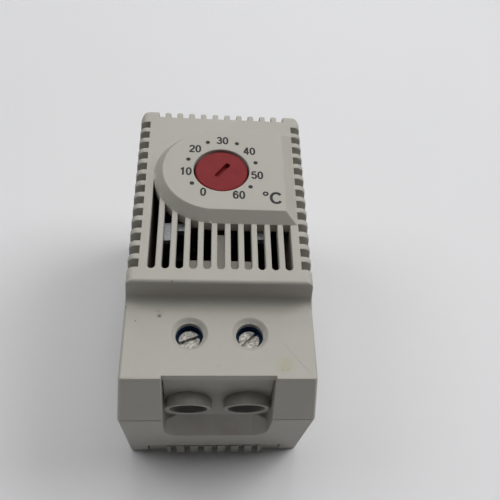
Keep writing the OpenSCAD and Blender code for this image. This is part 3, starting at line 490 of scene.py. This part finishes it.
# ---- Brass and contact pieces ----
# The switch itself: bars of half-hard brass strip, a turned brass screw in its bush, silver contact
# rivets, an arm of rolled bimetal and a ground magnet that snaps the contacts.
brass = plated_metal("half_hard_brass", "#d9bb74", "#b8965a", 0.25, 0.40, 1500.0)
for name in ("adjusting_screw", "screw_bush", "contact_bar", "feed_bar", "bar_rivets"):
    give_material(nodes[name], brass)
silver = plated_metal("fine_silver_contact", "#eeeeea", "#cfcfca", 0.20, 0.35, 2500.0)
for name in ("moving_contact", "fixed_contact"):
    give_material(nodes[name], silver)
bimetal = plated_metal("rolled_bimetal_strip", "#b8aa92", "#94866f", 0.30, 0.45, 1200.0)
give_material(nodes["bimetal_arm"], bimetal)
magnet_alloy = plated_metal("ground_magnet_alloy", "#7a7b7e", "#55565a", 0.35, 0.55, 1800.0)
give_material(nodes["magnet"], magnet_alloy)

# ---- Springs ----
# Two compression springs coiled from drawn steel wire: one pushes the rail latch home, the other
# stands between the adjusting screw and the bimetal arm.
wire = plated_metal("drawn_spring_steel", "#b9bcc0", "#8f9296", 0.25, 0.40, 3000.0)
# along which axis each lies, and in millimetres where its still end is and how far it is pressed
for name, joint, along, fixed_end, travel in (
        ("latch_spring", "latch_pull", 1, -23.9, 2.0),
        ("range_spring", "arm_lift", 2, 23.5, 0.36)):
    spring = merged_copy(name, name + "_coil", 0.001 * mm)
    bpy.ops.object.shade_smooth_by_angle(angle=math.radians(60))
    give_material(spring, wire)
    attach(spring, "case")
    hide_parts(name)
    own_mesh(spring)

# ---- Carrier ----
# A plate of polyamide with columns and horns, moulded in one and screwed down in the base. It holds
# the whole switch behind the slots; its near-black colour is painted shade for the gloom seen through them.
# painted shade: near-black so that the slots look dark
carrier_nylon_painted_shade, bsdf = mottled_finish("near_black_polyamide_painted_shade", 700.0, 3.0, "#26292b", "#33373a")
bsdf.inputs["Roughness"].default_value = 0.45
give_material(nodes["carrier"], carrier_nylon_painted_shade)

# ---- Horn clips ----
# Caps of bright tinned strip, 0.15 mm thick, pressed over the three horns of the carrier that stand
# close under the front wall; they are what shines through the second, third and ninth slots.
tin = plated_metal("bright_tinned_strip", "#d4d6d9", "#aeb1b6", 0.45, 0.65, 2600.0, 0.4)
strip = 0.15 * mm
horn_top = 38.4 * mm
skirt_depth = 1.1 * mm
# each clip's sides, in millimetres
for name, left, right, front, back in (("horn_clip_left", -10.4, -8.1, -2.1, 1.5),
                                       ("horn_clip_middle", -8.2, -6.3, 0.0, 1.5),
                                       ("horn_clip_right", 6.2, 8.0, -1.5, 0.5)):
    deselect_all()
    middle = ((left + right) / 2 * mm, (front + back) / 2 * mm, horn_top)
    bpy.ops.mesh.primitive_plane_add(size=1, location=middle)
    clip = bpy.context.object
    clip.name = name
    clip.scale = ((right - left) * mm, (back - front) * mm, 1)
    bpy.ops.object.transform_apply(location=True, rotation=True, scale=True)
    bpy.ops.object.mode_set(mode="EDIT")
    # the rim folds down over the horn's sides as a short skirt
    bpy.ops.mesh.select_all(action="SELECT")
    bpy.ops.mesh.extrude_edges_move(TRANSFORM_OT_translate={"value": (0, 0, -skirt_depth)})
    bpy.ops.mesh.select_all(action="SELECT")
    bpy.ops.mesh.normals_make_consistent(inside=False)
    bpy.ops.object.mode_set(mode="OBJECT")
    thick = clip.modifiers.new("strip_thickness", "SOLIDIFY")
    thick.thickness = strip
    thick.offset = 1.0
    bpy.ops.object.modifier_apply(modifier=thick.name)
    fold = clip.modifiers.new("fold_radius", "BEVEL")
    fold.width = 0.12 * mm
    fold.segments = 2
    fold.limit_method = "ANGLE"
    bpy.ops.object.modifier_apply(modifier=fold.name)
    give_material(clip, tin)
    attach(clip, "case")
